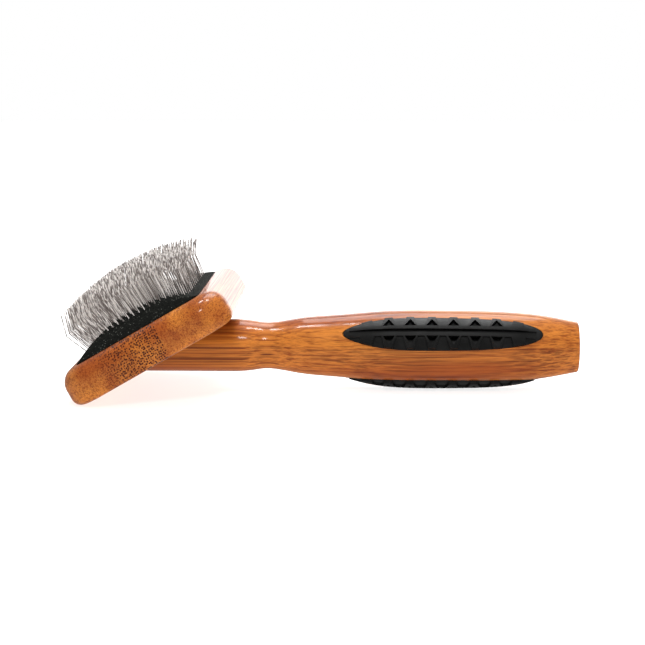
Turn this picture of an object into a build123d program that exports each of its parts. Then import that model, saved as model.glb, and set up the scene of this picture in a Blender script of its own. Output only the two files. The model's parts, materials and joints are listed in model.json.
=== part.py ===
"""Slicker brush: a tilted bamboo T-head on a turned bamboo handle.

Wire staples stand in a domed rubber foundation that floats on a foam cushion, and three
rubber grips are let into the handle. Millimetres, +Z up, brush lying with its pins up.
+X runs along the handle to its free end, and the head's long side runs along Y.
"""
import os
from math import cos, radians, sin, sqrt

from build123d import *

# Overall layout
HANDLE_AND_HEAD_LENGTH = 204.6
HEAD_TILT = 30.0
HANDLE_SLOPE = 0.1
AXIS_HEIGHT = 17.6

# Turned handle: distance from the free end, and radius there
HANDLE_END_RADIUS = 10.2
BARREL_PROFILE = [(14, 12.8), (28, 14.15), (55, 14.8), (82, 14.25), (98, 12.8), (114, 11.35)]
NECK_POSITION = 126.5
NECK_RADIUS = 9.5
SHANK_POSITION = 141.0
SHANK_RADIUS = 10.75
HANDLE_LENGTH = 195.0
END_ROUND = 0.9

# Rubber grips: heights are measured from the handle's axis
GRIP_SEAT = 12.95
GRIP_CROWN = 17.3
GRIP_RELIEF = 1.1
GRIP_POCKET_DEPTH = 1.2
GRIP_EASE = 0.04
GRIP_ANGLES = {"grip_left": 60.0, "grip_right": -60.0, "grip_bottom": 180.0}
GROOVE_WIDTH = 1.6
GROOVE_DEPTH = 0.8
STRIP_EDGE = 2.2
CHEVRON_PITCH = 8.7
CHEVRON_COUNT = 8
CHEVRON_BASE = 5.9
CHEVRON_TOP = 3.0
CHEVRON_REACH = 6.8
HOLLOW_BASE = 4.9
HOLLOW_REACH = 5.5
HOLLOW_FLOOR = 0.2
STRIP_END_MARGIN = 2.5

# Head block, in its own plane: length along the handle, width across it
HEAD_LENGTH = 72.5
HEAD_WIDTH = 107.0
HEAD_THICKNESS = 14.9
HEAD_CORNER = 13.0
HEAD_TOP_ROUND = 7.0
HEAD_BACK_ROUND = 4.0
POCKET_LENGTH = 56.0
POCKET_WIDTH = 91.0
POCKET_CORNER = 5.0
POCKET_DEPTH = 5.0

# Domed pad in the pocket
PAD_GAP = 0.2
DOME_RISE = 7.4
DOME_FLAT_HALF = 28.0
DOME_MARGIN = 1.5
FOUNDATION_LENGTH = 48.0
FOUNDATION_WIDTH = 80.0
FOUNDATION_THICKNESS = 1.6
FOUNDATION_CORNER = 4.0
FOUNDATION_GAP = 0.3

# Wire staples: angles in degrees, spreads from the field's middle to its front and back edges
WIRE_DIAMETER = 0.45
ROW_COUNT = 26
ROW_PITCH = 3.0
STAPLES_PER_ROW = 10
LEG_PITCH = 2.35
LOWER_LENGTH = 10.2
UPPER_LENGTH = 7.8
UPPER_SPREAD = 0.9
LEAN_AT_CENTRE = 7.0
LEAN_SPREAD = 15.0
BEND_AT_CENTRE = 32.0
BEND_SPREAD = 6.0
FIELD_SHIFT = 0.8

# Wood screws that hold the head on the handle
SCREW_DIAMETER = 4.0
SCREW_HEAD_DIAMETER = 7.6
SCREW_LENGTH = 16.0
SCREW_TIP = 3.0
SCREW_OFFSETS = (1.0, 11.0)
RECESS_WIDTH = 0.9
RECESS_SPAN = 4.0
RECESS_DEPTH = 1.6

FREE_END_X = HANDLE_AND_HEAD_LENGTH / 2
TILT = radians(HEAD_TILT)

# The head's rounded front edge reaches the overall length, and its back edge reaches the ground
FRONT_EDGE_X = (
    FREE_END_X - HANDLE_AND_HEAD_LENGTH + HEAD_TOP_ROUND
    - HEAD_TOP_ROUND * cos(TILT) + (HEAD_THICKNESS - HEAD_TOP_ROUND) * sin(TILT)
)
FRONT_EDGE_Z = HEAD_BACK_ROUND * (1 - sin(TILT) - cos(TILT))
HEAD_PLANE = Plane(
    origin=(FRONT_EDGE_X, 0, FRONT_EDGE_Z),
    x_dir=(cos(TILT), 0, sin(TILT)),
    z_dir=(-sin(TILT), 0, cos(TILT)),
)
HEAD_MIDDLE = HEAD_LENGTH / 2

# Where the handle's axis meets the head's back, along the head
JOINT_MIDDLE = (AXIS_HEIGHT - FRONT_EDGE_Z) / sin(TILT)

DOME_HALF = POCKET_LENGTH / 2 - PAD_GAP
DOME_END = POCKET_WIDTH / 2 - PAD_GAP
DOME_RADIUS = (DOME_HALF**2 + DOME_RISE**2) / (2 * DOME_RISE)
DOME_END_RUN = DOME_END - DOME_FLAT_HALF
DOME_END_RADIUS = (DOME_END_RUN**2 + DOME_RISE**2) / (2 * DOME_RISE)


# ---------------------------------------------------------------- handle

def barrel_curve():
    """Half outline of the turned bar, from the free end to the shank."""
    points = [(0, HANDLE_END_RADIUS), *BARREL_PROFILE]
    points += [(NECK_POSITION, NECK_RADIUS), (SHANK_POSITION, SHANK_RADIUS)]
    return Spline(*points, tangents=[(1, 0.19), (1, 0)])


def barrel_blank():
    """The turned bar before any cut, along +X from the origin."""
    curve = barrel_curve()
    rest = Polyline(
        curve @ 1,
        (HANDLE_LENGTH, SHANK_RADIUS),
        (HANDLE_LENGTH, 0),
        (0, 0),
        (0, HANDLE_END_RADIUS),
    )
    bar = revolve(make_face([curve, rest]), Axis.X)
    end_edge = bar.edges().filter_by(GeomType.CIRCLE).sort_by(Axis.X)[0]
    return fillet(end_edge, END_ROUND)


def place_handle(shape):
    """From handle coordinates (free end at the origin, bar along +X) to the brush."""
    turned = Rot(0, HANDLE_SLOPE, 0) * Rot(0, 0, 180) * shape
    return Pos(FREE_END_X, 0, AXIS_HEIGHT) * turned


def make_handle(bar, seats):
    """Bar with the grip seats, the screw holes and the bevel under the head."""
    for angle in GRIP_ANGLES.values():
        bar -= Rot(angle, 0, 0) * seats
    handle = place_handle(bar)
    above_bevel = HEAD_PLANE * Pos(HEAD_MIDDLE, 0, 0) * Box(
        2 * HANDLE_LENGTH, HEAD_WIDTH, HANDLE_LENGTH,
        align=(Align.CENTER, Align.CENTER, Align.MIN),
    )
    handle -= above_bevel
    for offset in SCREW_OFFSETS:
        handle -= screw_place(offset) * screw_blank()
    return handle


# ---------------------------------------------------------------- grips

def barrel_radius(position):
    """Radius of the turned bar at a distance from its free end."""
    crossing = barrel_curve().intersect(Line((position, 0), (position, GRIP_CROWN)))
    return crossing[0].Y


def grip_span():
    """Distances from the free end between which the barrel is thicker than the seat."""
    curve = barrel_curve()
    steps = 400
    outline = [curve @ (i / steps) for i in range(steps + 1)]
    thick = [point.X for point in outline if point.Y > GRIP_SEAT]
    return thick[0], thick[-1]


def pillow(crown, relief=0.0):
    """Long crowned body that meets the barrel's surface along the edge of a grip's seat.

    Its cross-section is a circle about a line parallel to the bar. The relief thickens it
    evenly and fades out at both ends.
    """
    start, end = grip_span()
    half = (end - start) / 2
    half_width = sqrt(barrel_radius(start + half) ** 2 - GRIP_SEAT**2)
    height = crown - GRIP_SEAT
    drop = (half_width**2 - height**2) / (2 * height)
    stations = [start + half * (1 - cos(radians(15 * i))) for i in range(13)]
    outline = []
    for station in stations:
        flat = max(barrel_radius(station) ** 2 - GRIP_SEAT**2, 0)
        fade = 1 - ((station - start - half) / half) ** 6
        outline.append((station, sqrt(flat + drop**2) + relief * fade))
    profile = Spline(*outline)
    closing = Polyline(profile @ 1, (end, 0), (start, 0), profile @ 0)
    body = revolve(make_face([profile, closing]), Axis.X)
    return Pos(0, 0, GRIP_SEAT - drop) * body


def grip_prism(bar, ease):
    """Straight-walled block above the pocket's floor, with the outline of the seat.

    The seat's plane cuts a lens out of the barrel. Cutting it higher by the ease makes the
    lens a little smaller.
    """
    cut = section(bar, section_by=Plane.XY.offset(GRIP_SEAT + ease))
    lens = cut.faces().sort_by(SortBy.AREA)[-1]
    return Pos(0, 0, -ease - GRIP_POCKET_DEPTH) * extrude(lens, GRIP_CROWN, dir=(0, 0, 1))


def chevron(position):
    """One raised trapezoid beside the groove."""
    base = CHEVRON_BASE / 2
    top = CHEVRON_TOP / 2
    outline = Polyline(
        (position - base, STRIP_EDGE),
        (position + base, STRIP_EDGE),
        (position + top, CHEVRON_REACH),
        (position - top, CHEVRON_REACH),
        close=True,
    )
    return make_face(outline)


def hollow(position):
    """Triangular hollow in a trapezoid, with its point away from the groove."""
    outline = Polyline(
        (position - HOLLOW_BASE / 2, STRIP_EDGE),
        (position + HOLLOW_BASE / 2, STRIP_EDGE),
        (position, HOLLOW_REACH),
        close=True,
    )
    return make_face(outline)


def chevron_positions():
    """Middles of the trapezoids, from the free end's side."""
    middle = sum(grip_span()) / 2
    first = middle - CHEVRON_PITCH * (CHEVRON_COUNT - 1) / 2
    return [first + i * CHEVRON_PITCH for i in range(CHEVRON_COUNT)]


def raised_pattern():
    """Plan of the raised rubber on one side of the groove."""
    start, end = grip_span()
    length = end - start - 2 * STRIP_END_MARGIN
    width = STRIP_EDGE - GROOVE_WIDTH / 2
    middle = Pos((start + end) / 2, GROOVE_WIDTH / 2 + width / 2)
    pattern = middle * Rectangle(length, width)
    for position in chevron_positions():
        pattern += chevron(position)
    return pattern


def groove():
    """Plan of the groove along the middle of a grip."""
    start, end = grip_span()
    length = end - start - 2 * STRIP_END_MARGIN
    return Pos((start + end) / 2, 0) * Rectangle(length, GROOVE_WIDTH)


def make_grip(bar):
    """Rubber inlay, seen from above the bar: crowned, grooved and set with chevrons.

    All trapezoids but those at the ends have a hollow with a flat floor just above the seat.
    """
    side = raised_pattern()
    pattern = side + mirror(side, Plane.XZ)
    flank_crown = GRIP_CROWN - GRIP_RELIEF
    raised = extrude(pattern, GRIP_CROWN + 1, dir=(0, 0, 1)) & pillow(flank_crown, GRIP_RELIEF)
    body = pillow(flank_crown) + raised
    groove_floor = pillow(flank_crown - GROOVE_DEPTH)
    body -= extrude(groove(), GRIP_CROWN + 1, dir=(0, 0, 1)) - groove_floor
    for position in chevron_positions()[1:-1]:
        cut = extrude(hollow(position), GRIP_CROWN, dir=(0, 0, 1))
        cut = Pos(0, 0, GRIP_SEAT + HOLLOW_FLOOR) * cut
        body -= cut
        body -= mirror(cut, Plane.XZ)
    return body & grip_prism(bar, GRIP_EASE)


# ---------------------------------------------------------------- head

def head_prism(length, width, corner, bottom, top):
    """Rounded rectangle in the head's plane, extruded between two heights over its back."""
    outline = Pos(HEAD_MIDDLE, 0, bottom) * RectangleRounded(length, width, corner)
    return extrude(outline, top - bottom)


def make_head():
    """Bamboo plate with rounded edges, the pad's pocket and two screw holes."""
    plate = head_prism(HEAD_LENGTH, HEAD_WIDTH, HEAD_CORNER, 0, HEAD_THICKNESS)
    rims = plate.faces().sort_by(Axis.Z)
    back_rim = rims[0].edges()
    plate = fillet(back_rim, HEAD_BACK_ROUND)
    top_rim = plate.faces().sort_by(Axis.Z)[-1].edges()
    plate = fillet(top_rim, HEAD_TOP_ROUND)
    floor = HEAD_THICKNESS - POCKET_DEPTH
    plate -= head_prism(POCKET_LENGTH, POCKET_WIDTH, POCKET_CORNER, floor, 2 * HEAD_THICKNESS)
    plate = HEAD_PLANE * plate
    for offset in SCREW_OFFSETS:
        plate -= screw_place(offset) * screw_blank()
    return plate


def screw_place(offset):
    """Middle of a screw's head, on the pocket's floor."""
    return HEAD_PLANE * Pos(JOINT_MIDDLE + offset, 0, HEAD_THICKNESS - POCKET_DEPTH)


def screw_blank():
    """Countersunk screw before its cross recess is cut, and the hole it sits in."""
    radius = SCREW_DIAMETER / 2
    head_radius = SCREW_HEAD_DIAMETER / 2
    outline = Polyline(
        (0, 0),
        (head_radius, 0),
        (radius, radius - head_radius),
        (radius, SCREW_TIP - SCREW_LENGTH),
        (0, -SCREW_LENGTH),
        close=True,
    )
    return revolve(make_face(Plane.XZ * outline), Axis.Z)


def make_screw(offset):
    """Countersunk cross-head wood screw, flush with the pocket's floor."""
    arm = Box(RECESS_SPAN, RECESS_WIDTH, 2 * RECESS_DEPTH)
    body = screw_blank() - arm - Rot(0, 0, 90) * arm
    return screw_place(offset) * body


# ---------------------------------------------------------------- pad

def end_drop(past):
    """How far the pad's crown has fallen, a distance past its flat middle."""
    return DOME_END_RADIUS - sqrt(DOME_END_RADIUS**2 - past**2)


def dome(shrink):
    """Crowned body over the pocket, lowered evenly by shrink and a margin wider than the pad."""
    roof = HEAD_THICKNESS + DOME_RISE - shrink
    length = 2 * (DOME_HALF + DOME_MARGIN)
    end = DOME_END + DOME_MARGIN
    edge = roof - end_drop(end - DOME_FLAT_HALF)
    across = Pos(HEAD_MIDDLE, 0, roof - DOME_RADIUS) * Rot(90, 0, 0) * Cylinder(DOME_RADIUS, 2 * end)
    crown = Line((-DOME_FLAT_HALF, roof), (DOME_FLAT_HALF, roof))
    right = RadiusArc((DOME_FLAT_HALF, roof), (end, edge), DOME_END_RADIUS)
    left = RadiusArc((-end, edge), (-DOME_FLAT_HALF, roof), DOME_END_RADIUS)
    below = Polyline((end, edge), (end, 0), (-end, 0), (-end, edge))
    side = Plane.YZ.offset(HEAD_MIDDLE - length / 2)
    along = extrude(side * make_face([left, crown, right, below]), length)
    return across & along


def make_foundation():
    """Domed rubber sheet that holds the staples."""
    corner = FOUNDATION_CORNER
    block = head_prism(FOUNDATION_LENGTH, FOUNDATION_WIDTH, corner, 0, 2 * HEAD_THICKNESS)
    return HEAD_PLANE * (block & dome(0) - dome(FOUNDATION_THICKNESS))


def make_foam():
    """Foam that fills the pocket, stands round the foundation and lies under it."""
    corner = POCKET_CORNER - PAD_GAP
    floor = HEAD_THICKNESS - POCKET_DEPTH
    length = POCKET_LENGTH - 2 * PAD_GAP
    width = POCKET_WIDTH - 2 * PAD_GAP
    block = head_prism(length, width, corner, floor, 2 * HEAD_THICKNESS) & dome(0)
    grow = 2 * FOUNDATION_GAP
    sheet = head_prism(
        FOUNDATION_LENGTH + grow, FOUNDATION_WIDTH + grow,
        FOUNDATION_CORNER + FOUNDATION_GAP, 0, 2 * HEAD_THICKNESS,
    )
    return HEAD_PLANE * (block - (sheet - dome(FOUNDATION_THICKNESS + FOUNDATION_GAP)))


# ---------------------------------------------------------------- wire staples

def dome_height(across, along):
    """Height of the dome over the head's back, at offsets from its middle."""
    side_drop = DOME_RADIUS - sqrt(DOME_RADIUS**2 - across**2)
    past = max(abs(along) - DOME_FLAT_HALF, 0)
    return HEAD_THICKNESS + DOME_RISE - max(side_drop, end_drop(past))


def leg_points(across, along):
    """Base, knee and tip of one leg, in the plane of its row."""
    field_half = LEG_PITCH * (2 * STAPLES_PER_ROW - 1) / 2
    from_middle = across / field_half
    lean = LEAN_AT_CENTRE - LEAN_SPREAD * from_middle
    bend = BEND_AT_CENTRE - BEND_SPREAD * from_middle
    lower = radians(90 + lean)
    upper = radians(90 + lean - bend)
    shifted = across + FIELD_SHIFT
    base = Vector(HEAD_MIDDLE + shifted, dome_height(shifted, along) - FOUNDATION_THICKNESS / 2)
    knee = base + LOWER_LENGTH * Vector(cos(lower), sin(lower))
    tip = knee + (UPPER_LENGTH - UPPER_SPREAD * from_middle) * Vector(cos(upper), sin(upper))
    return base, knee, tip


def make_staple(across, along):
    """U-shaped wire: two bent legs joined by a crown inside the foundation."""
    first = leg_points(across - LEG_PITCH / 2, along)
    second = leg_points(across + LEG_PITCH / 2, along)
    path = Polyline(*reversed(first), *second)
    start = Plane(origin=path @ 0, z_dir=path % 0)
    wire = sweep(start * Circle(WIRE_DIAMETER / 2), path=path, transition=Transition.RIGHT)
    row_plane = Plane(origin=(0, along, 0), x_dir=(1, 0, 0), z_dir=(0, -1, 0))
    return HEAD_PLANE * (row_plane * wire)


def make_row(index):
    """One row of staples across the pad. Odd rows are staggered by half a pitch."""
    along = (index - (ROW_COUNT - 1) / 2) * ROW_PITCH
    stagger = LEG_PITCH / 4 if index % 2 else -LEG_PITCH / 4
    staples = []
    for i in range(STAPLES_PER_ROW):
        across = (i - (STAPLES_PER_ROW - 1) / 2) * 2 * LEG_PITCH + stagger
        staples.append(make_staple(across, along))
    return Compound(staples)


def build():
    """Every node of the brush, by name."""
    bar = barrel_blank()
    nodes = {
        "handle": make_handle(bar, grip_prism(bar, 0)),
        "head_block": make_head(),
        "head_screws": Compound([make_screw(offset) for offset in SCREW_OFFSETS]),
        "foam_cushion": make_foam(),
        "foundation": make_foundation(),
    }
    grip = make_grip(bar)
    for name, angle in GRIP_ANGLES.items():
        nodes[name] = place_handle(Rot(angle, 0, 0) * grip)
    for index in range(ROW_COUNT):
        nodes[f"pin_row_{index + 1:02d}"] = make_row(index)
    return nodes


def centred(nodes):
    """Move the brush along X until the middle of its length is over the origin."""
    front = nodes["pin_row_01"].bounding_box().min.X
    back = nodes["handle"].bounding_box().max.X
    move = Location((-(front + back) / 2, 0, 0))
    return {name: shape.moved(move) for name, shape in nodes.items()}


os.makedirs("parts", exist_ok=True)
for name, shape in centred(build()).items():
    shape.label = name
    export_step(shape, f"parts/{name}.step")
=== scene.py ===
"""Slicker brush: finished materials, pad, wires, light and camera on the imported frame."""
import json
import math
import random

import bmesh
import bpy
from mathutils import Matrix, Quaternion, Vector


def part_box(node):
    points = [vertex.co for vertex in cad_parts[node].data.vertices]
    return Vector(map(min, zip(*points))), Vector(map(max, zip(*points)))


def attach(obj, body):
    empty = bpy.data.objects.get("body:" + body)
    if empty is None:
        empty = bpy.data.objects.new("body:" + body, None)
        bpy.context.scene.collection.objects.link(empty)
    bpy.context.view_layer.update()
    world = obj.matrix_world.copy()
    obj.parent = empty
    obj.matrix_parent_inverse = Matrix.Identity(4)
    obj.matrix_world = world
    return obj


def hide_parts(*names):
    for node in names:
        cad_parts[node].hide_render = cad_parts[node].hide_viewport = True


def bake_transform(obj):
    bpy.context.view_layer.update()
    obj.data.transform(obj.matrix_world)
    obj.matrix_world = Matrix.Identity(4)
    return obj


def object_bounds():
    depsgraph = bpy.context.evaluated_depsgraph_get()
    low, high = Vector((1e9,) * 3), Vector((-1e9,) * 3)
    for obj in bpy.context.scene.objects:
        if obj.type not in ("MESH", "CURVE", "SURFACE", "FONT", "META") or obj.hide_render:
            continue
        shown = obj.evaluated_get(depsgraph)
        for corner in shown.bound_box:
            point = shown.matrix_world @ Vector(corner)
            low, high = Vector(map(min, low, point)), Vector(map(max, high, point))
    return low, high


bpy.context.scene.view_settings.view_transform = "Standard"
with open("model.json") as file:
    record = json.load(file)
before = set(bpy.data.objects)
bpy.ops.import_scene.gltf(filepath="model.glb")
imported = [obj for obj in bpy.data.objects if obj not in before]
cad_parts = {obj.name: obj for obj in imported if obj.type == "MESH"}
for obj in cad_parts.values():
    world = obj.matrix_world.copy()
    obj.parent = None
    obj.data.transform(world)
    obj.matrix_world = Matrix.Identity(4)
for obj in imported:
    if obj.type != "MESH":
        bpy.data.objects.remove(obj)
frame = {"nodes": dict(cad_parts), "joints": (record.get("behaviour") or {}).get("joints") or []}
CAD_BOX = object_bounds()

MM = 0.001
X_AXIS = Vector((1, 0, 0))
Y_AXIS = Vector((0, 1, 0))
Z_AXIS = Vector((0, 0, 1))

# The head's own directions: out of its face, and along the handle in its plane
HEAD_UP = Vector(frame["joints"][0]["axis"]).normalized()
HEAD_ALONG = Y_AXIS.cross(HEAD_UP)


def span(node, axis):
    """Lowest and highest reach of a CAD node along an axis."""
    reach = [vertex.co.dot(axis) for vertex in frame["nodes"][node].data.vertices]
    return min(reach), max(reach)


# Places read from the frame
RIM_LEVEL = span("head_block", HEAD_UP)[1]
CROWN_LEVEL = span("foundation", HEAD_UP)[1]
FOAM_ALONG = span("foam_cushion", HEAD_ALONG)
FOAM_ACROSS = span("foam_cushion", Y_AXIS)
FOAM_FLOOR = span("foam_cushion", HEAD_UP)[0]
PAD_MIDDLE = sum(FOAM_ALONG) / 2
HEAD_REACH = span("head_block", HEAD_ALONG)
FREE_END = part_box("handle")[1].x
AXIS_HEIGHT = sum(span("handle", Z_AXIS)) / 2


def head_point(along, across, up):
    """Point at a distance along the head from the pad's middle, across it, and over its back."""
    return HEAD_ALONG * (PAD_MIDDLE + along) + Y_AXIS * across + HEAD_UP * up


# ---------------------------------------------------------------- node helpers

class Shader:
    """A material under construction, with short calls for the nodes used here."""

    def __init__(self, name):
        self.material = bpy.data.materials.new(name)
        self.material.use_nodes = True
        self.nodes = self.material.node_tree.nodes
        self.links = self.material.node_tree.links
        self.surface = self.nodes["Principled BSDF"]

    def put(self, socket, value):
        """Set or link one input."""
        if isinstance(value, bpy.types.NodeSocket):
            self.links.new(value, socket)
        else:
            socket.default_value = value

    def surface_set(self, **values):
        """Set or link inputs of the surface shader, with underscores for spaces."""
        for name, value in values.items():
            self.put(self.surface.inputs[name.replace("_", " ")], value)

    def position(self):
        return self.nodes.new("ShaderNodeTexCoord").outputs["Object"]

    def grain_space(self, axes, scales):
        """Position measured along three directions and multiplied by three scales."""
        position = self.position()
        combine = self.nodes.new("ShaderNodeCombineXYZ")
        for socket, axis, scale in zip(combine.inputs, axes, scales):
            dot = self.nodes.new("ShaderNodeVectorMath")
            dot.operation = "DOT_PRODUCT"
            self.put(dot.inputs[0], position)
            self.put(dot.inputs[1], tuple(axis * scale))
            self.links.new(dot.outputs["Value"], socket)
        return combine.outputs[0]

    def noise(self, vector, scale=1.0, detail=3.0, roughness=0.5, distortion=0.0):
        node = self.nodes.new("ShaderNodeTexNoise")
        self.put(node.inputs["Vector"], vector)
        self.put(node.inputs["Scale"], scale)
        self.put(node.inputs["Detail"], detail)
        self.put(node.inputs["Roughness"], roughness)
        self.put(node.inputs["Distortion"], distortion)
        return node.outputs["Fac"]

    def voronoi(self, vector, scale=1.0, randomness=1.0, output="Distance"):
        node = self.nodes.new("ShaderNodeTexVoronoi")
        self.put(node.inputs["Vector"], vector)
        self.put(node.inputs["Scale"], scale)
        self.put(node.inputs["Randomness"], randomness)
        return node.outputs[output]

    def component(self, vector, name):
        node = self.nodes.new("ShaderNodeSeparateXYZ")
        self.put(node.inputs[0], vector)
        return node.outputs[name]

    def remap(self, value, low, high, to_low=0.0, to_high=1.0):
        node = self.nodes.new("ShaderNodeMapRange")
        node.interpolation_type = "SMOOTHSTEP"
        self.put(node.inputs["Value"], value)
        self.put(node.inputs["From Min"], low)
        self.put(node.inputs["From Max"], high)
        self.put(node.inputs["To Min"], to_low)
        self.put(node.inputs["To Max"], to_high)
        return node.outputs["Result"]

    def math(self, operation, first, second=0.0):
        node = self.nodes.new("ShaderNodeMath")
        node.operation = operation
        self.put(node.inputs[0], first)
        self.put(node.inputs[1], second)
        return node.outputs[0]

    def mix(self, factor, first, second):
        node = self.nodes.new("ShaderNodeMix")
        node.data_type = "RGBA"
        self.put(node.inputs["Factor"], factor)
        self.put(node.inputs["A"], first)
        self.put(node.inputs["B"], second)
        return node.outputs["Result"]

    def bump(self, height, strength, distance):
        node = self.nodes.new("ShaderNodeBump")
        self.put(node.inputs["Height"], height)
        self.put(node.inputs["Strength"], strength)
        self.put(node.inputs["Distance"], distance)
        return node.outputs["Normal"]


# ---------------------------------------------------------------- materials

# Texture scales in cells per metre: along the grain, and in the two directions across it
CLOUD_SCALES = (7, 60, 60)
FLAME_SCALES = (13, 230, 230)
FIBRE_SCALES = (60, 3200, 3200)
BUNDLE_SCALES = (16, 1080, 1080)
FINE_BUNDLE_SCALES = (30, 2100, 2100)
STREAK_ALONG = 11

BAMBOO_LIGHT = (0.60, 0.200, 0.030, 1)
BAMBOO_WARM = (0.35, 0.080, 0.012, 1)
BAMBOO_RED = (0.15, 0.021, 0.003, 1)
BAMBOO_DARK = (0.035, 0.007, 0.003, 1)
COARSE_WARMTH = 0.35
STREAK_STRENGTH = 0.7
FIBRE_STRENGTH = 0.42
BUNDLE_SIZES = (0.10, 0.44)


def glued_strips(shade, axes, width, start):
    """Rising value across each glued strip, and 0.5 in every second strip."""
    grain, side, across = axes
    strips = shade.grain_space((side, grain, across), (1 / width, 0, 0))
    place = shade.math("ADD", shade.component(strips, "X"), start)
    rising = shade.math("FRACT", place)
    coarse = shade.math("FRACT", shade.math("MULTIPLY", shade.math("FLOOR", place), 0.5))
    return rising, coarse


def vascular_dots(shade, axes, rising, coarse):
    """Dark bundles: large ones in every second strip, denser towards one side, and fine ones."""
    bundles = shade.voronoi(shade.grain_space(axes, BUNDLE_SCALES), randomness=0.6)
    fine = shade.voronoi(shade.grain_space(axes, FINE_BUNDLE_SCALES), randomness=0.8)
    in_coarse = shade.math("MULTIPLY", coarse, 2.0)
    density = shade.math("MULTIPLY", shade.remap(rising, -0.45, 0.45), in_coarse)
    size = shade.remap(density, 0.0, 1.0, *BUNDLE_SIZES)
    inside = shade.remap(shade.math("SUBTRACT", size, bundles), 0.0, 0.10)
    large = shade.math("MULTIPLY", inside, density)
    small = shade.remap(fine, 0.18, 0.34, to_low=0.5, to_high=0.0)
    return shade.math("MAXIMUM", large, small)


def bamboo(name, axes, strip_width, strip_start, dot_strength, streak_pitch, figure):
    """Lacquered bamboo: fibres and dark vascular bundles that run along the grain.

    The axes are the grain's direction, the direction across the glued strips, and the third.
    The figure is the strength of the broad red streaks.
    """
    shade = Shader(name)
    streak_scales = (STREAK_ALONG, 1 / streak_pitch, 1 / streak_pitch)
    cloud = shade.noise(shade.grain_space(axes, CLOUD_SCALES), detail=4)
    streak = shade.noise(shade.grain_space(axes, streak_scales), detail=4, roughness=0.6)
    fibre = shade.noise(shade.grain_space(axes, FIBRE_SCALES), detail=2)
    flame = shade.noise(
        shade.grain_space(axes, FLAME_SCALES), detail=4, roughness=0.6, distortion=0.5
    )
    rising, coarse = glued_strips(shade, axes, strip_width, strip_start)

    colour = shade.mix(shade.remap(cloud, 0.36, 0.62), BAMBOO_LIGHT, BAMBOO_WARM)
    colour = shade.mix(shade.math("MULTIPLY", coarse, COARSE_WARMTH), colour, BAMBOO_WARM)
    streaks = shade.remap(streak, 0.44, 0.66, to_high=STREAK_STRENGTH)
    colour = shade.mix(streaks, colour, BAMBOO_RED)
    colour = shade.mix(shade.remap(flame, 0.54, 0.68, to_high=figure), colour, BAMBOO_RED)
    fibres = shade.remap(fibre, 0.48, 0.72, to_high=FIBRE_STRENGTH)
    colour = shade.mix(fibres, colour, BAMBOO_DARK)
    dots = shade.math("MULTIPLY", vascular_dots(shade, axes, rising, coarse), dot_strength)
    colour = shade.mix(dots, colour, BAMBOO_DARK)

    height = shade.math("SUBTRACT", fibre, dots)
    shade.surface_set(
        Base_Color=colour,
        Roughness=shade.remap(streak, 0.3, 0.8, to_low=0.34, to_high=0.46),
        Specular_IOR_Level=0.12,
        Normal=shade.bump(height, strength=0.15, distance=0.12 * MM),
        Coat_Weight=0.38,
        Coat_Roughness=0.09,
        Coat_IOR=1.5,
    )
    return shade.material


GRIP_BLACK = (0.0028, 0.0028, 0.0026, 1)
GRIP_CHARCOAL = (0.0072, 0.0072, 0.0068, 1)


def grip_rubber():
    """Moulded black rubber with a fine eggshell surface."""
    shade = Shader("grip_rubber")
    position = shade.position()
    cloud = shade.noise(position, scale=160, detail=3)
    grain = shade.noise(position, scale=2600, detail=2)
    shade.surface_set(
        Base_Color=shade.mix(shade.remap(cloud, 0.35, 0.7), GRIP_BLACK, GRIP_CHARCOAL),
        Roughness=shade.remap(cloud, 0.3, 0.7, to_low=0.40, to_high=0.55),
        Normal=shade.bump(grain, strength=0.25, distance=0.1 * MM),
        Specular_IOR_Level=0.32,
    )
    return shade.material


PAD_BLACK = (0.0030, 0.0034, 0.0028, 1)
PAD_CHARCOAL = (0.010, 0.011, 0.009, 1)
PAD_FLECK = (0.12, 0.125, 0.11, 1)
FLECKS_PER_METRE = 1250


def pad_rubber():
    """Matt black foam rubber with small pale flecks."""
    shade = Shader("pad_rubber")
    position = shade.position()
    grain = shade.noise(position, scale=1500, detail=3, roughness=0.65)
    flecks = shade.voronoi(position, scale=FLECKS_PER_METRE)
    chosen = shade.voronoi(position, scale=FLECKS_PER_METRE, output="Color")
    mask = shade.math(
        "MULTIPLY",
        shade.remap(flecks, 0.12, 0.34, to_low=1.0, to_high=0.0),
        shade.remap(chosen, 0.55, 0.68),
    )
    colour = shade.mix(shade.remap(grain, 0.4, 0.7), PAD_BLACK, PAD_CHARCOAL)
    colour = shade.mix(mask, colour, PAD_FLECK)
    shade.surface_set(
        Base_Color=colour,
        Roughness=0.9,
        Normal=shade.bump(grain, strength=0.9, distance=0.4 * MM),
        Specular_IOR_Level=0.12,
    )
    return shade.material


SCREW_DARK = (0.42, 0.40, 0.34, 1)
SCREW_PALE = (0.6, 0.58, 0.5, 1)
SCREW_ROUGHNESS = 0.3
WIRE_DARK = (0.25, 0.215, 0.20, 1)
WIRE_PALE = (1.0, 0.94, 0.90, 1)
WIRE_ROUGHNESS = 0.2
WIRE_SCALES = (18, 1300, 1300)
MARK_ROUGHNESS = 0.12


def drawn_steel(name, colour_low, colour_high, roughness, length=X_AXIS, scales=(900, 900, 900)):
    """Steel with drawing marks that are stretched along a direction."""
    shade = Shader(name)
    space = shade.grain_space((length, length.cross(Y_AXIS), Y_AXIS), scales)
    marks = shade.remap(shade.noise(space, detail=2), 0.43, 0.58)
    shade.surface_set(
        Base_Color=shade.mix(marks, colour_low, colour_high),
        Metallic=0.45,
        Roughness=shade.remap(marks, 0.0, 1.0, roughness, roughness + MARK_ROUGHNESS),
    )
    return shade.material


# Edges that turn by more degrees than this stay sharp
CAD_SHARP = 30
GRIP_SHARP = 25
FORMED_SHARP = 50


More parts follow.
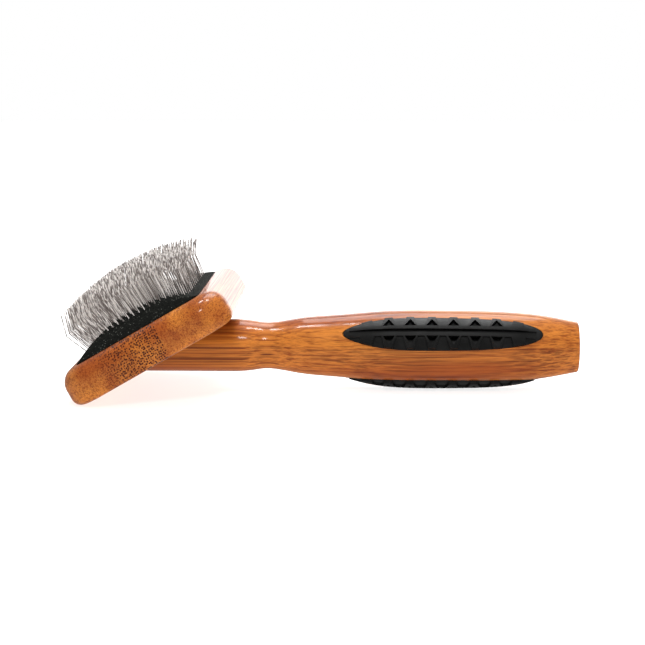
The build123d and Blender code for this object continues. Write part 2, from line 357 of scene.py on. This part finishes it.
def paint(piece, material, smooth_angle=CAD_SHARP):
    """One material over a whole piece, shaded smooth except across sharp edges."""
    piece.data.materials.clear()
    piece.data.materials.append(material)
    piece.data.shade_smooth()
    piece.data.set_sharp_from_angle(angle=math.radians(smooth_angle))


# ---------------------------------------------------------------- pad

DOME_FLAT_HALF = 28.0 * MM
PAD_CORNER = 4.8 * MM
PAD_CELL = 0.9 * MM
PAD_SOFTNESS = 0.5 * MM


def arc_drop(distance, half, rise):
    """How far a circular arc has fallen at a distance from its top."""
    radius = (half**2 + rise**2) / (2 * rise)
    return radius - math.sqrt(max(radius**2 - distance**2, 0))


def dome_level(along, across):
    """Height of the pad's surface over the head's back."""
    rise = CROWN_LEVEL - RIM_LEVEL
    half_along = (FOAM_ALONG[1] - FOAM_ALONG[0]) / 2
    half_across = FOAM_ACROSS[1]
    side = arc_drop(along, half_along, rise)
    past = max(abs(across) - DOME_FLAT_HALF, 0)
    end = arc_drop(past, half_across - DOME_FLAT_HALF, rise)
    gap = side - end
    drop = (side + end + math.sqrt(gap**2 + PAD_SOFTNESS**2)) / 2
    return CROWN_LEVEL - min(drop, rise)


def rounded_corner(along, across, half_along, half_across):
    """Bring a point of a rectangle's grid inside the rectangle's round corners."""
    over_along = (abs(along) - half_along + PAD_CORNER) / PAD_CORNER
    over_across = (abs(across) - half_across + PAD_CORNER) / PAD_CORNER
    if over_along <= 0 or over_across <= 0:
        return along, across
    inside_along = half_along - PAD_CORNER * (1 - over_along * math.sqrt(1 - over_across**2 / 2))
    inside_across = half_across - PAD_CORNER * (1 - over_across * math.sqrt(1 - over_along**2 / 2))
    return math.copysign(inside_along, along), math.copysign(inside_across, across)


def make_pad(material):
    """Closed, crowned pad: domed top, a skirt into the pocket and a flat underside."""
    half_along = (FOAM_ALONG[1] - FOAM_ALONG[0]) / 2
    half_across = FOAM_ACROSS[1]
    columns = round(2 * half_along / PAD_CELL)
    rows = round(2 * half_across / PAD_CELL)
    mesh = bmesh.new()
    top = []
    for row in range(rows + 1):
        line = []
        for column in range(columns + 1):
            along = half_along * (2 * column / columns - 1)
            across = half_across * (2 * row / rows - 1)
            along, across = rounded_corner(along, across, half_along, half_across)
            line.append(mesh.verts.new(head_point(along, across, dome_level(along, across))))
        top.append(line)
    for row in range(rows):
        for column in range(columns):
            mesh.faces.new((
                top[row][column], top[row][column + 1],
                top[row + 1][column + 1], top[row + 1][column],
            ))
    rim = [edge for edge in mesh.edges if edge.is_boundary]
    skirt = bmesh.ops.extrude_edge_only(mesh, edges=rim)["geom"]
    for vertex in [item for item in skirt if isinstance(item, bmesh.types.BMVert)]:
        vertex.co += HEAD_UP * (FOAM_FLOOR - vertex.co.dot(HEAD_UP))
    floor = [item for item in skirt if isinstance(item, bmesh.types.BMEdge) and item.is_boundary]
    bmesh.ops.contextual_create(mesh, geom=floor)
    bmesh.ops.recalc_face_normals(mesh, faces=mesh.faces)
    data = bpy.data.meshes.new("cushion_pad")
    mesh.to_mesh(data)
    mesh.free()
    pad = bpy.data.objects.new("cushion_pad", data)
    bpy.context.scene.collection.objects.link(pad)
    paint(pad, material, FORMED_SHARP)
    return pad


# ---------------------------------------------------------------- wires

WIRE_RADIUS = 0.225 * MM
LEG_PITCH = 2.35 * MM
LEGS_PER_ROW = 20
LOWER_LENGTH = 10.2 * MM
UPPER_LENGTH = 7.8 * MM
UPPER_SPREAD = 0.9 * MM
ROOT_DEPTH = 0.8 * MM
KNEE_RADIUS = 1.2 * MM
FIELD_SHIFT = 0.8 * MM
WIRE_SIDES = 8
KNEE_STEPS = 4

# The leans and bends are in degrees, and the chamfer is in radii of the wire
LEAN_AT_CENTRE = 7.0
LEAN_SPREAD = 15.0
BEND_AT_CENTRE = 32.0
BEND_SPREAD = 6.0
TIP_CHAMFER = 0.6
TIP_SHARE = 0.45

# Unevenness from wire to wire
LEAN_NOISE = 0.7
SWAY_NOISE = 0.9
BEND_NOISE = 1.2
LENGTH_NOISE = 0.015
STRAY_SHARE = 0.02
STRAY_GAIN = 5.0
WIRE_SEED = 7


def wire_shape(from_middle, dice):
    """Directions below and above a wire's knee, its bend in degrees and its length's factor."""
    stray = STRAY_GAIN if dice.random() < STRAY_SHARE else 1.0
    lean = LEAN_AT_CENTRE - LEAN_SPREAD * from_middle + dice.gauss(0, LEAN_NOISE)
    sway = math.radians(dice.gauss(0, SWAY_NOISE))
    bend = BEND_AT_CENTRE - BEND_SPREAD * from_middle + dice.gauss(0, BEND_NOISE) * stray
    reach = 1 + dice.uniform(-LENGTH_NOISE, LENGTH_NOISE)
    lower = Quaternion(Y_AXIS, -math.radians(lean)) @ HEAD_UP
    lower.rotate(Quaternion(HEAD_ALONG, sway))
    upper = lower.copy()
    upper.rotate(Quaternion(Y_AXIS, math.radians(bend)))
    upper.rotate(Quaternion(HEAD_ALONG, sway * stray))
    return lower, upper, bend, reach


def wire_path(along, across, dice):
    """Points down the middle of one wire, from inside the pad to its tip."""
    from_middle = along / (LEG_PITCH * (LEGS_PER_ROW - 1) / 2)
    lower, upper, bend, reach = wire_shape(from_middle, dice)
    shifted = along + FIELD_SHIFT
    base = head_point(shifted, across, dome_level(shifted, across)) - HEAD_UP * ROOT_DEPTH
    knee = base + lower * LOWER_LENGTH * reach
    tip = knee + upper * (UPPER_LENGTH - UPPER_SPREAD * from_middle) * reach
    setback = KNEE_RADIUS * math.tan(math.radians(bend / 2))
    start = knee - lower * setback
    end = knee + upper * setback
    points = [base]
    for step in range(KNEE_STEPS + 1):
        t = step / KNEE_STEPS
        points.append(start.lerp(knee, t).lerp(knee.lerp(end, t), t))
    points.append(tip)
    return points


def wire_rings(points):
    """Centre, two cross directions and radius of each ring, with a chamfer at the tip."""
    rings = []
    last = len(points) - 1
    for index, point in enumerate(points):
        ahead = (points[min(index + 1, last)] - points[max(index - 1, 0)]).normalized()
        side = ahead.cross(Y_AXIS).normalized()
        rings.append((point, side, side.cross(ahead), WIRE_RADIUS))
    tip, side, up, radius = rings[-1]
    rings[-1] = (tip - ahead * radius * TIP_CHAMFER, side, up, radius)
    rings.append((tip, side, up, radius * TIP_SHARE))
    return rings


def add_wire(mesh, points):
    """A round tube along the points."""
    loops = []
    for point, side, up, radius in wire_rings(points):
        loop = []
        for k in range(WIRE_SIDES):
            turn = 2 * math.pi * k / WIRE_SIDES
            loop.append(mesh.verts.new(point + (side * math.cos(turn) + up * math.sin(turn)) * radius))
        loops.append(loop)
    for first, second in zip(loops, loops[1:]):
        for k in range(WIRE_SIDES):
            n = (k + 1) % WIRE_SIDES
            mesh.faces.new((first[k], first[n], second[n], second[k]))
    mesh.faces.new(loops[-1])
    mesh.faces.new(list(reversed(loops[0])))


def make_wire_row(node, index, material, dice):
    """The wires of one row of staples, a little uneven as real ones are."""
    across = sum(span(node, Y_AXIS)) / 2
    stagger = LEG_PITCH / 4 if index % 2 else -LEG_PITCH / 4
    mesh = bmesh.new()
    for leg in range(LEGS_PER_ROW):
        along = (leg - (LEGS_PER_ROW - 1) / 2) * LEG_PITCH + stagger
        add_wire(mesh, wire_path(along, across, dice))
    bmesh.ops.recalc_face_normals(mesh, faces=mesh.faces)
    name = f"wires_{index + 1:02d}"
    data = bpy.data.meshes.new(name)
    mesh.to_mesh(data)
    mesh.free()
    piece = bpy.data.objects.new(name, data)
    bpy.context.scene.collection.objects.link(piece)
    paint(piece, material, FORMED_SHARP)
    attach(piece, "pin_pad")
    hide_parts(node)


# ---------------------------------------------------------------- scene

HEAD_STRIP = 28.0 * MM
HEAD_GLUE_LINE = 8.0 * MM
HANDLE_STRIP = 11.0 * MM


def dress_frame():
    """Finished materials on the CAD nodes whose shape is kept.

    The head's glue line lies a little past its middle, on the handle's side.
    """
    glue_line = sum(HEAD_REACH) / 2 + HEAD_GLUE_LINE
    head_wood = bamboo(
        "bamboo_head", (Y_AXIS, HEAD_ALONG, HEAD_UP),
        strip_width=HEAD_STRIP, strip_start=2 - glue_line / HEAD_STRIP,
        dot_strength=0.95, streak_pitch=0.6 * MM, figure=0.2,
    )
    handle_wood = bamboo(
        "bamboo_handle", (X_AXIS, Z_AXIS, Y_AXIS),
        strip_width=HANDLE_STRIP, strip_start=0.3,
        dot_strength=0.4, streak_pitch=1.0 * MM, figure=0.5,
    )
    rubber = grip_rubber()
    screws = drawn_steel("screw_steel", SCREW_DARK, SCREW_PALE, SCREW_ROUGHNESS)
    paint(frame["nodes"]["handle"], handle_wood)
    paint(frame["nodes"]["head_block"], head_wood)
    paint(frame["nodes"]["head_screws"], screws)
    for name in ("grip_left", "grip_right", "grip_bottom"):
        paint(frame["nodes"][name], rubber, GRIP_SHARP)


def build_pad():
    """The soft pad, built in place of the foam cushion and the foundation."""
    pad = make_pad(pad_rubber())
    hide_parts("foam_cushion", "foundation")
    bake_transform(pad)


def build_wires():
    """One piece of wires for each row of staples in the frame."""
    wire = drawn_steel(
        "wire_steel", WIRE_DARK, WIRE_PALE, WIRE_ROUGHNESS, length=HEAD_UP, scales=WIRE_SCALES
    )
    rows = sorted(name for name in frame["nodes"] if name.startswith("pin_row_"))
    dice = random.Random(WIRE_SEED)
    for index, node in enumerate(rows):
        make_wire_row(node, index, wire, dice)


FLOOR_SIZE = 6.0
FLOOR_PALE = (0.93, 0.93, 0.93, 1)


def floor():
    """Plain pale surface the brush lies on. It isn't mirrored in the lacquer or the wires."""
    bpy.ops.mesh.primitive_plane_add(size=FLOOR_SIZE, location=(0, 0, CAD_BOX[0][2]))
    ground = bpy.context.object
    ground.name = "floor"
    ground.visible_glossy = False
    shade = Shader("pale_floor")
    shade.surface_set(Base_Color=FLOOR_PALE, Roughness=0.95, Specular_IOR_Level=0.05)
    ground.data.materials.append(shade.material)
    return ground


SKY_LIGHT = 0.32
SKY_SEEN = 1.0
LIT_POINT = Vector((0, 0, 0.02))
BROAD_PLACE = (0.22, -0.15, 1.0)
BROAD_POWER = 1.9
BROAD_ANGLE = math.radians(40)
FILL_PLACE = (0, 0, 1.0)
FILL_POWER = 2.55

# Area lights: place, power in watts, side of the square in metres
PANELS = {
    "window_left": ((-0.19, 0.03, 0.90), 1.8, 0.13),
    "window_right": ((0.10, 0.03, 0.90), 1.8, 0.13),
    "window_front": ((0.02, -0.80, 0.72), 1.6, 0.14),
    "panel_back": ((0.16, 1.08, 0.16), 5.8, 0.9),
    "panel_top": ((0.05, 0.50, 0.80), 3.4, 0.45),
}


def add_lamp(name, kind, place, power):
    """A lamp of one kind, aimed at the brush's middle and never seen itself."""
    data = bpy.data.lights.new(name, kind)
    data.energy = power
    lamp = bpy.data.objects.new(name, data)
    lamp.visible_camera = False
    lamp.location = place
    lamp.rotation_euler = (LIT_POINT - Vector(place)).to_track_quat("-Z", "Y").to_euler()
    bpy.context.scene.collection.objects.link(lamp)
    return lamp


def sky():
    """Even white surroundings that light the brush less than they show."""
    world = bpy.data.worlds.new("studio")
    world.use_nodes = True
    nodes = world.node_tree.nodes
    background = nodes["Background"]
    path = nodes.new("ShaderNodeLightPath")
    strength = nodes.new("ShaderNodeMapRange")
    strength.inputs["To Min"].default_value = SKY_LIGHT
    strength.inputs["To Max"].default_value = SKY_SEEN
    world.node_tree.links.new(path.outputs["Is Camera Ray"], strength.inputs["Value"])
    world.node_tree.links.new(strength.outputs["Result"], background.inputs["Strength"])
    background.inputs["Color"].default_value = (1, 1, 1, 1)
    bpy.context.scene.world = world


def link_lights(ground, broad, fill):
    """The broad light falls on the brush alone, and the fill on the floor, without a shadow."""
    brush_only = bpy.data.collections.new("all_but_floor")
    brush_only.objects.link(ground)
    brush_only.collection_objects[0].light_linking.link_state = "EXCLUDE"
    floor_only = bpy.data.collections.new("floor_only")
    floor_only.objects.link(ground)
    broad.light_linking.receiver_collection = brush_only
    fill.light_linking.receiver_collection = floor_only
    fill.light_linking.blocker_collection = floor_only


def lights(ground):
    """One broad light from above, a fill for the floor, and five windows and panels."""
    broad = add_lamp("broad_top", "SUN", BROAD_PLACE, BROAD_POWER)
    broad.data.angle = BROAD_ANGLE
    broad.visible_glossy = False
    fill = add_lamp("floor_fill", "SUN", FILL_PLACE, FILL_POWER)
    link_lights(ground, broad, fill)
    for name, (place, power, size) in PANELS.items():
        add_lamp(name, "AREA", place, power).data.size = size


# Distances in metres, lens and sensor in millimetres
CAMERA_DISTANCE = 0.85
CAMERA_ELEVATION = math.radians(7.6)
CAMERA_AZIMUTH = math.radians(1.6)
CAMERA_LENS = 115.8
CAMERA_SENSOR = 36
TARGET_FROM_FREE_END = 0.1045
TARGET_OVER_AXIS = 0.0087


def camera():
    """Long lens a little above the handle, at the distance of a product photograph."""
    back = Vector((
        math.sin(CAMERA_AZIMUTH) * math.cos(CAMERA_ELEVATION),
        -math.cos(CAMERA_AZIMUTH) * math.cos(CAMERA_ELEVATION),
        math.sin(CAMERA_ELEVATION),
    ))
    target = Vector((FREE_END - TARGET_FROM_FREE_END, 0, AXIS_HEIGHT + TARGET_OVER_AXIS))
    data = bpy.data.cameras.new("camera")
    data.lens = CAMERA_LENS
    data.sensor_width = CAMERA_SENSOR
    data.clip_start = 0.01
    eye = bpy.data.objects.new("camera", data)
    eye.location = target + back * CAMERA_DISTANCE
    eye.rotation_euler = (-back).to_track_quat("-Z", "Y").to_euler()
    bpy.context.scene.collection.objects.link(eye)
    bpy.context.scene.camera = eye


dress_frame()
build_pad()
build_wires()
sky()
lights(floor())
camera()
